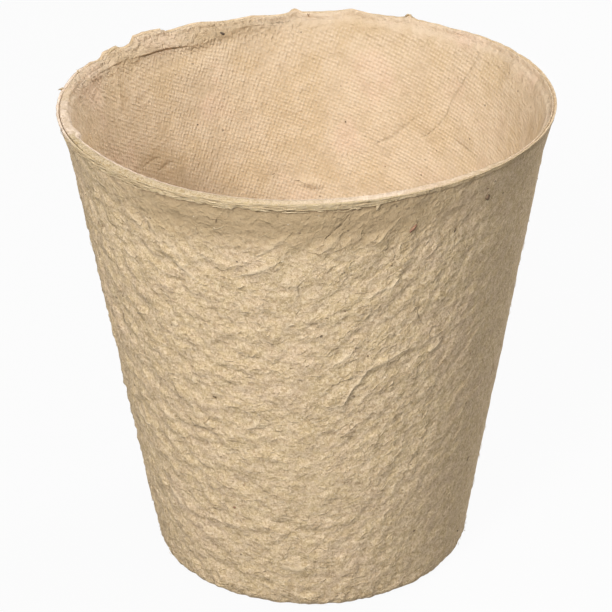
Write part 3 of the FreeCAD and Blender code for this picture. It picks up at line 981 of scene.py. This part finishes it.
def inner_print():
    """Inside: pinkish tan pulp pressed on wire cloth, smooth and paler at the rim."""
    pulp = Shader("wire_printed_pulp", 0.88, 0.25)
    place = pulp.millimetres()
    clouds = pulp.grain(place, 10.0, 3.0)
    patches = pulp.grain(place, 3.2, 3.0, 0.6)
    clumps = pulp.grain(place, 0.95, 3.0, 0.6)
    fibres = pulp.grain(place, 0.33, 3.0, 0.65, 0.5)
    level = pulp.times(pulp.painted("cloth"), pulp.eased(patches, 0.25, 0.6, 0.45, 1.0))
    printed = pulp.times(pulp.maths("SUBTRACT", cloth_print(pulp), 0.5), level)
    pits = pulp.times(pulp.eased(fibres, 0.35, 0.55), pulp.eased(clumps, 0.34, 0.46, 0.25, 1.0))
    ridge, groove = pulp.line_near("ridge", 1.2), pulp.line_near("groove", 1.0)

    base = pulp.layered(pulp.blend(pulp.eased(clumps, 0.3, 0.7, 0.35, 0.65), INNER_DARK, INNER_LIGHT), [
        (0.5, INNER),
        (pulp.eased(clouds, 0.48, 0.62, 0.0, 0.5), INNER_YELLOW),
        (pulp.eased(clouds, 0.47, 0.3, 0.0, 0.5), INNER_ROSE),
        (pulp.eased(patches, 0.5, 0.36, 0.0, 0.22), INNER_BROWN),
        (pulp.eased(patches, 0.52, 0.66, 0.0, 0.3), INNER_LIGHT),
        (pulp.eased(printed, 0.0, -0.34), INNER_DARK, 0.34),
        (pulp.eased(printed, 0.02, 0.34), INNER_LIGHT, 0.45),
        (pulp.eased(fibres, 0.4, 0.22), INNER_DARK, 0.3),
        (pulp.painted("rim"), pulp.blend(pulp.eased(clumps, 0.35, 0.65), RIM_SHADE, RIM_PINK)),
        (pulp.painted("cream"), pulp.blend(pits, CREAM_LINE, CREAM)),
        # Painted shade in the crack, under the strip and in the rim's ply line
        (pulp.painted("hollow_shade"), HOLLOW_SHADE, 0.75),
        # Brown for stains and mottles, and painted shade on the strip, at its end and on the rim's top
        (pulp.painted("stains_and_shade"), INNER_BROWN, pulp.eased(clumps, 0.3, 0.7, 0.75, 0.25)),
        # Painted shade in the drawn grooves
        (groove, HOLLOW_SHADE, 0.22),
        (pulp.specks(place, 0.8, 0.006, 5.0), BARK, 0.6),
    ])
    return pulp.finish(base, pulp.eased(clumps, 0.3, 0.7, 0.94, 0.82), [
        (patches, 0.35),
        (clumps, 0.14),
        (pulp.times(clumps, pulp.painted("rough")), 0.95),
        (pulp.maths("SUBTRACT", ridge, pulp.times(groove, 0.75)), 0.1),
        (printed, 0.12),
        (fibres, 0.07),
    ])


def fibre_material():
    hair = Shader("plant_fibre", 0.75, 0.3)
    fine = hair.grain(hair.millimetres(), 0.5, 2.0)
    base = hair.blend(hair.painted("tone"), FIBRE, FIBRE_DARK)
    base = hair.blend(hair.eased(fine, 0.4, 0.6, 0.0, 0.3), base, FELT)
    return hair.finish(base, hair.eased(fine, 0.3, 0.7, 0.65, 0.85), [(fine, 0.03)])


def bark_material():
    """Dark bark at low tones, brown between and reddish at the top."""
    bark = Shader("bark_fleck", 0.7, 0.3)
    fine = bark.grain(bark.millimetres(), 0.25, 3.0)
    tone = bark.painted("tone")
    base = bark.layered(bark.blend(bark.eased(tone, 0.0, 0.5), BARK_DARK, BARK_BROWN), [
        (bark.eased(tone, 0.6, 0.85), BARK_RED),
        (bark.eased(fine, 0.45, 0.65, 0.0, 0.6), FELT_DARK),
    ])
    return bark.finish(base, bark.eased(fine, 0.3, 0.7, 0.6, 0.85), [(fine, 0.05)])


def stage_material(name, base, glow):
    """White for the camera and for reflections, plain for the light that falls on the object."""
    sheet = Shader(name, 1.0, 0.0)
    sheet.surface["Base Color"].default_value = base
    path = sheet.add("ShaderNodeLightPath").outputs
    mirrored = sheet.maths("MAXIMUM", path["Is Glossy Ray"], path["Is Transmission Ray"])
    seen = sheet.times(sheet.maths("MAXIMUM", path["Is Camera Ray"], mirrored), glow)
    white = sheet.add("ShaderNodeEmission", {"Color": colour(1, 1, 1), "Strength": 1.0}).outputs[0]
    plain = sheet.tree.nodes["Principled BSDF"].outputs[0]
    both = sheet.add("ShaderNodeMixShader", {0: seen, 1: plain, 2: white}).outputs[0]
    sheet.put(both, sheet.tree.nodes["Material Output"].inputs["Surface"])
    return sheet.material


def plain_sheet(name, corners, material):
    mesh = bpy.data.meshes.new(name)
    mesh.from_pydata([Vector(c) * MM for c in corners], [], [(0, 1, 2, 3)])
    mesh.materials.append(material)
    sheet = placed(name, mesh)


def lamp(name, place, size, power):
    light = bpy.data.lights.new(name, "AREA")
    light.shape = "DISK"
    light.size = size * MM
    light.energy = power
    thing = placed(name, light)
    thing.location = Vector(place) * MM
    thing.rotation_euler = (Vector((0, 0, HEIGHT / 2 * MM)) - thing.location).to_track_quat("-Z", "Y").to_euler()


def photo_camera():
    data = bpy.data.cameras.new("camera")
    data.sensor_width = SENSOR_WIDTH
    data.lens = FOCAL_PIXELS * SENSOR_WIDTH / PHOTO_SIZE
    data.clip_start = 0.01
    camera = placed("camera", data)
    axes = Matrix((camera_right, camera_up, camera_back)).transposed()
    camera.matrix_world = Matrix.Translation(Vector(camera_place * MM)) @ axes.to_4x4()
    bpy.context.scene.camera = camera


# Small loose pieces on the two faces
def place_on(wall, bearing, height, lift=0.0):
    """Point of a ply's wall at a bearing and a height, raised off it by a lift; a lift inwards is below zero."""
    line = wall[:, int(round(bearing / 360 * COLUMNS)) % COLUMNS]
    row = min(int(np.searchsorted(line[:, 2], height)), len(line) - 1)
    return at(bearing, hypot(line[row, 0], line[row, 1]) + lift, height)


def unit(vectors):
    return vectors / (np.linalg.norm(vectors, axis=1)[:, None] + 1e-9)


def strand_parts(path, widths, thickness):
    """Corners and faces of a closed four-sided strand along a path; it lies flat against the wall."""
    path = np.array(path)
    run = unit(np.gradient(path, axis=0))
    side = unit(np.cross(run, unit(path * (1, 1, 0))))
    half = np.array(widths)[:, None] / 2
    out = np.cross(side, run) * (thickness / 2 * np.minimum(1, half / half.max() + 0.15))
    side = side * half
    corners = np.stack([path + side, path + out, path - side, path - out], axis=1)
    last = 4 * len(path) - 4
    faces = [(i + k, i + (k + 1) % 4, i + 4 + (k + 1) % 4, i + 4 + k) for i in range(0, last, 4) for k in range(4)]
    faces += [(3, 2, 1, 0), (last, last + 1, last + 2, last + 3)]
    return corners.reshape(-1, 3), faces


def joined(name, strands, tones):
    """One mesh of many strands, each with its own tone from 0 to 1."""
    corners, faces, tone = [], [], []
    for (path, widths, thickness), value in zip(strands, tones):
        some, their_faces = strand_parts(path, widths, thickness)
        start = sum(len(c) for c in corners)
        faces += [tuple(start + i for i in face) for face in their_faces]
        corners.append(some)
        tone += [value] * len(some)
    points = np.vstack(corners)
    keep_in_box(points)
    mesh = bpy.data.meshes.new(name)
    mesh.from_pydata(points * MM, [], faces)
    mesh.shade_smooth()
    paint(mesh, "tone", np.array(tone))
    return mesh


def wall_path(wall, start, heading, length, curl, lift, count=6):
    """Curved path on a wall from a (bearing, height), with its middle raised by a lift."""
    bearing, height = start
    path = []
    step = length / (count - 1)
    for i in range(count):
        share = i / (count - 1)
        path.append(place_on(wall, bearing % 360, height, lift * (0.35 + 4 * share * (1 - share) * 0.65)))
        heading += curl / (count - 1)
        bearing += degrees(step * cos(radians(heading)) / outer_radius(height))
        height += step * sin(radians(heading))
    return path


# Torn bits that stand up from the rim: for each its points as (bearing, height over the rim, step outwards), and widths
RIM_BITS = [
    ([(172.0, -0.5, 0.0), (172.6, 0.1, 0.1), (173.6, 0.35, 0.3), (175.2, 0.6, 0.35)], (1.0, 0.6, 0.2, 0.06)),
    ([(161.4, -0.4, -0.3), (161.7, 0.1, -0.3), (162.0, 0.45, -0.35), (162.1, 0.62, -0.3)], (0.7, 0.5, 0.3, 0.12)),
    ([(143.4, 0.1, -0.5), (145.0, 0.5, -0.7), (147.0, 0.55, -0.9), (148.6, 0.25, -1.0)], (0.5, 0.8, 0.8, 0.4)),
    ([(62.0, 0.1, -0.4), (62.5, 0.45, -0.5), (63.2, 0.55, -0.6), (63.7, 0.2, -0.7)], (0.3, 0.5, 0.5, 0.3)),
    ([(341.5, -0.3, 0.0), (341.8, 0.0, 0.15), (342.3, 0.2, 0.25), (342.8, 0.3, 0.3)], (0.4, 0.25, 0.12, 0.05)),
    ([(285.4, -0.9, 0.05), (285.0, -1.4, 0.3), (284.8, -1.8, 0.35), (284.7, -2.1, 0.2)], (0.5, 0.6, 0.4, 0.2)),
    ([(222.0, 0.0, 0.1), (223.5, 0.2, 0.25), (225.0, 0.1, 0.3), (226.0, -0.1, 0.2)], (0.3, 0.3, 0.2, 0.1)),
]


def lip_shreds(rng):
    """Shreds of the plies that lie along the ragged lip on the left."""
    strands = []
    for _ in range(90):
        bearing, length, depth = 196 + 84 * rng.uniform() ** 1.4, rng.uniform(1.0, 3.6), rng.uniform(0.12, 1.4)
        lift, climb, width = rng.uniform(0.0, 0.15), rng.normal(0, 0.09), rng.uniform(0.1, 0.36)
        path = []
        for along in np.linspace(0, 1, 6):
            place = bearing + degrees(length * along / RIM_RADIUS)
            height = float(rim_top(np.array(place))) - depth + climb * length * along + rng.normal(0, 0.04)
            path.append(at(place, outer_radius(height) - 0.06 + lift * 4 * along * (1 - along), height))
        strands.append((path, width * np.array([0.2, 0.7, 1, 0.9, 0.6, 0.2]), 0.14))
    return strands


def torn_bits():
    """Little flaps and whiskers of pulp torn up along the rim, and the shreds of its lip."""
    rng = np.random.default_rng(SEED + 2)
    strands = []
    for points, widths in RIM_BITS:
        path = []
        for bearing, rise, step in points:
            height = float(rim_top(np.array(float(bearing)))) + rise
            path.append(at(bearing, outer_radius(height) - 0.3 + step, height))
        strands.append((path, widths, 0.22))
    tones = [0.45] * len(strands)
    strands += lip_shreds(rng)
    tones += list(rng.uniform(0.15, 0.75, len(strands) - len(tones)))
    return joined("torn_bits", strands, tones)


def loose_fibres(outer_wall, inner_wall):
    """Plant fibres that lie on the felt outside and, fewer of them, inside and along the rim."""
    rng = np.random.default_rng(SEED)
    strands, tones = [], []
    for kind, count in (("outside", 620), ("inside", 150), ("rim", 90), ("foot", 130)):
        for _ in range(count):
            bearing = rng.uniform(0, 360)
            height = {"outside": rng.uniform(2, 78), "inside": rng.uniform(8, 77), "foot": rng.uniform(1.5, 2.6),
                      "rim": rim_top(np.array(bearing)) - rng.uniform(0.5, 1.4)}[kind]
            heading = rng.normal(12 if kind == "outside" else 0, 35)
            length = rng.uniform(*{"rim": (0.4, 1.2), "foot": (0.25, 0.75)}.get(kind, (0.8, 2.6)))
            wall, lift = (inner_wall, -0.05) if kind == "inside" else (outer_wall, 0.05)
            curl, lift = rng.normal(0, 50), lift * rng.uniform(0.5, 2.2)
            path = wall_path(wall, (bearing, float(height)), heading, length, curl, lift)
            width = rng.uniform(0.05, 0.13) * (1.6 if kind == "foot" else 1)
            strands.append((path, width * np.array([0.4, 0.8, 1, 1, 0.7, 0.3]), 0.06))
            tones.append(rng.uniform(0, 1) ** 2)
    return joined("loose_fibres", strands, tones)


# Flecks of bark and dirt that the photograph shows: pick, length, width, heading in degrees, tone
OUTER_FLECKS = [
    ((487.5, 196.3), 1.0, 1.0, 20, 0.3), ((488, 188), 0.5, 0.2, 0, 0.5), ((455, 230), 0.8, 0.35, 80, 0.1),
    ((321, 336), 0.5, 0.35, 40, 0.0), ((353.4, 396.4), 0.4, 0.3, 0, 0.2), ((368, 356), 0.35, 0.25, 0, 0.3),
    ((391.5, 265), 0.4, 0.25, 30, 0.2), ((99, 223), 0.6, 0.4, -40, 0.3), ((299.7, 233), 0.35, 0.3, 0, 0.0),
    ((237.4, 261), 0.3, 0.22, 0, 0.1), ((410, 464.5), 0.45, 0.25, 30, 0.3), ((414, 530.7), 0.4, 0.3, 70, 0.2),
    ((215, 397.5), 1.0, 0.2, -60, 0.15), ((467.5, 458), 1.0, 0.18, 50, 0.3), ((457, 530.5), 0.4, 0.3, 0, 0.1),
    ((215.6, 220), 1.1, 0.12, 88, 0.3), ((243, 486), 0.3, 0.25, 0, 0.4), ((103, 226), 0.4, 0.2, 0, 0.35),
    ((345, 311), 0.3, 0.2, 0, 0.4), ((222, 287), 0.3, 0.25, 0, 0.3), ((470, 353), 0.35, 0.2, 60, 0.4),
]
RED_FLECKS = [((413, 228), 1.6, 0.6, 48, 0.85), ((234, 507), 0.5, 0.35, 20, 0.85), ((310, 15), 0.8, 0.16, 60, 0.95)]
INNER_FLECKS = [((200, 124), 0.4, 0.3, 0, 0.2), ((275, 174), 1.0, 0.25, -20, 0.3), ((347, 122), 0.35, 0.3, 0, 0.15),
                ((386, 167), 0.4, 0.3, 0, 0.4), ((437, 151), 0.35, 0.3, 0, 0.2), ((342.5, 86), 0.3, 0.25, 0, 0.3),
                ((224, 34), 1.0, 0.6, 0, 0.0), ((131, 152), 0.8, 0.4, -30, 0.5), ((303, 32), 0.3, 0.25, 0, 0.3)]


def bark_flecks(outer_wall, inner_wall):
    """Flecks pressed into the pulp, the photographed ones and a few more round the back."""
    rng = np.random.default_rng(SEED + 1)
    strands, tones = [], []
    known = [(on_wall(f[0]), f[1:], outer_wall, 0.03 + 0.06 * f[2]) for f in OUTER_FLECKS + RED_FLECKS[:2]]
    known += [(on_wall(f[0], True), f[1:], inner_wall, -0.03) for f in INNER_FLECKS + RED_FLECKS[2:]]
    for _ in range(46):
        outside = rng.uniform() < 0.6
        where = (rng.uniform(-5, 185) if outside else rng.uniform(190, 350), rng.uniform(4, 72))
        form = (rng.uniform(0.25, 0.8), rng.uniform(0.15, 0.35), rng.uniform(-90, 90), rng.uniform(0, 0.5))
        known.append((where, form, *((outer_wall, 0.03) if outside else (inner_wall, -0.03))))
    for (bearing, height), (length, width, heading, tone), wall, lift in known:
        angle = radians(heading)
        start = (bearing - degrees(length / 2 * cos(angle) / FLECK_RADIUS), height - length / 2 * sin(angle))
        path = wall_path(wall, start, heading, length, rng.normal(0, 25), lift, count=5)
        strands.append((path, width * np.array([0.35, 0.9, 1, 0.8, 0.3]), 0.1))
        tones.append(tone)
    return joined("bark_flecks", strands, tones)


def build():
    outer_mesh, outer_wall = outer_ply()
    inner_mesh, inner_wall = inner_ply()
    for name, mesh, material in (("outer_ply", outer_mesh, outer_felt()), ("inner_ply", inner_mesh, inner_print())):
        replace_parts(piece(name, mesh, material), "pot_shell")
    fibre = fibre_material()
    piece("loose_fibres", loose_fibres(outer_wall, inner_wall), fibre)
    piece("bark_flecks", bark_flecks(outer_wall, inner_wall), bark_material())
    piece("torn_bits", torn_bits(), fibre)


photo_camera()
build()

floor_white = stage_material("floor_white", colour(0.34, 0.34, 0.34), 0.95)
wall_white = stage_material("backdrop_white", colour(0.8, 0.8, 0.8), 1.0)
left, right, top = -900, 900, 1200
plain_sheet("floor", [(left, left, 0), (right, left, 0), (right, right, 0), (left, right, 0)], floor_white)
plain_sheet("backdrop", [(left, right, 0), (right, right, 0), (right, right, top), (left, right, top)], wall_white)

# Lamps: name, place, width, power in watts
for settings in (("key", (-249, -535, 453), 180, 4.95), ("back", (400, 370, 470), 300, 3.4),
                 ("front", (31, -359, 664), 500, 1.6), ("right", (630, -169, 344), 400, 0.42)):
    lamp(*settings)
world = bpy.data.worlds.new("studio")
bpy.context.scene.world = world
world.use_nodes = True
sky = world.node_tree.nodes["Background"].inputs
sky["Color"].default_value = colour(1.0, 0.95, 0.88)
sky["Strength"].default_value = 0.2
bpy.context.scene.view_settings.view_transform = "Standard"
